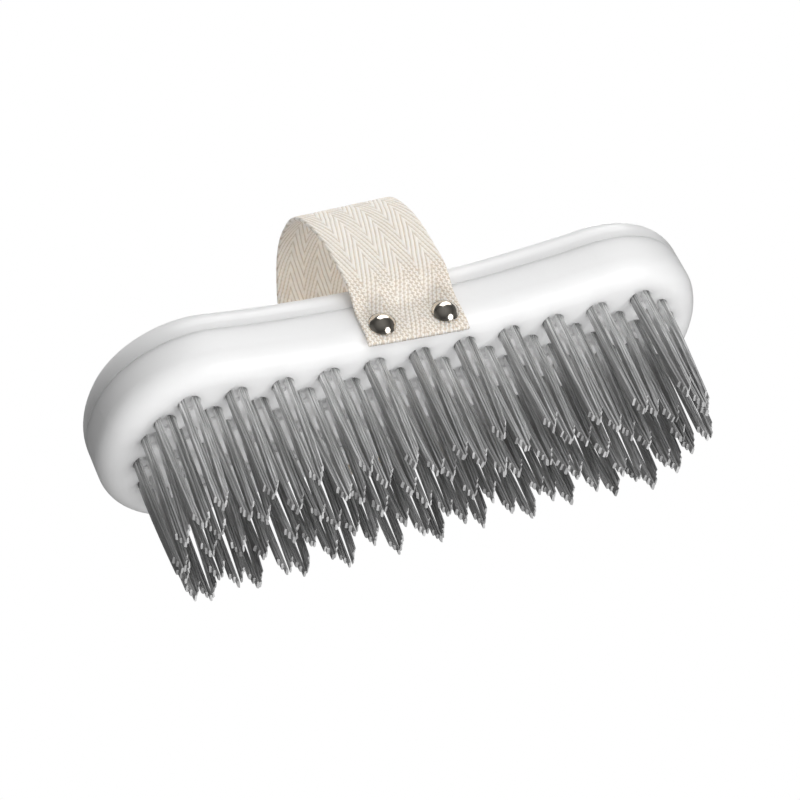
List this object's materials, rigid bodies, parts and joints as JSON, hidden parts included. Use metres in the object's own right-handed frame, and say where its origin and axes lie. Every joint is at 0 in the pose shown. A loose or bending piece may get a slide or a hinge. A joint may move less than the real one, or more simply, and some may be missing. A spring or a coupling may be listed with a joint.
{
  "type": "grooming brush",
  "caption": "Undercoat rake: waisted plastic block with staggered rows of folded flat steel wires in its face and a webbing hand strap riveted over its back.",
  "frame": {"origin": "under the middle of the block, on the plane of the longest wire tips", "axes": "+X along the block, +Y across it, +Z out of its back; the wires point down"},
  "size_m": [0.1992, 0.0762, 0.1099],
  "materials": {
    "block_plastic": "smooth moulded, soft gloss",
    "cover_plastic": "smooth moulded, soft gloss",
    "strap_webbing": "unbleached cotton herringbone weave",
    "cap_nickel": "polished nickel plate",
    "pin_steel": "drawn wire",
    "wire_steel": "rolled flat wire, cut ends bright",
    "anchor_steel": "drawn wire"
  },
  "bodies": {
    "root": {"tuft_block": "block_plastic", "back_cover": "cover_plastic", "hand_strap": "strap_webbing", "near_rivet_caps": "cap_nickel", "far_rivet_caps": "cap_nickel", "near_rivet_pins": "pin_steel", "far_rivet_pins": "pin_steel", "row_1_inner_wires": "wire_steel", "row_1_middle_wires": "wire_steel", "row_1_outer_wires": "wire_steel", "row_1_tuft_anchors": "anchor_steel", "row_2_inner_wires": "wire_steel", "row_2_middle_wires": "wire_steel", "row_2_outer_wires": "wire_steel", "row_2_tuft_anchors": "anchor_steel", "row_3_inner_wires": "wire_steel", "row_3_middle_wires": "wire_steel", "row_3_outer_wires": "wire_steel", "row_3_tuft_anchors": "anchor_steel", "row_4_inner_wires": "wire_steel", "row_4_middle_wires": "wire_steel", "row_4_outer_wires": "wire_steel", "row_4_tuft_anchors": "anchor_steel", "row_5_inner_wires": "wire_steel", "row_5_middle_wires": "wire_steel", "row_5_outer_wires": "wire_steel", "row_5_tuft_anchors": "anchor_steel", "row_6_inner_wires": "wire_steel", "row_6_middle_wires": "wire_steel", "row_6_outer_wires": "wire_steel", "row_6_tuft_anchors": "anchor_steel", "row_7_inner_wires": "wire_steel", "row_7_middle_wires": "wire_steel", "row_7_outer_wires": "wire_steel", "row_7_tuft_anchors": "anchor_steel"}
  },
  "joints": []
}
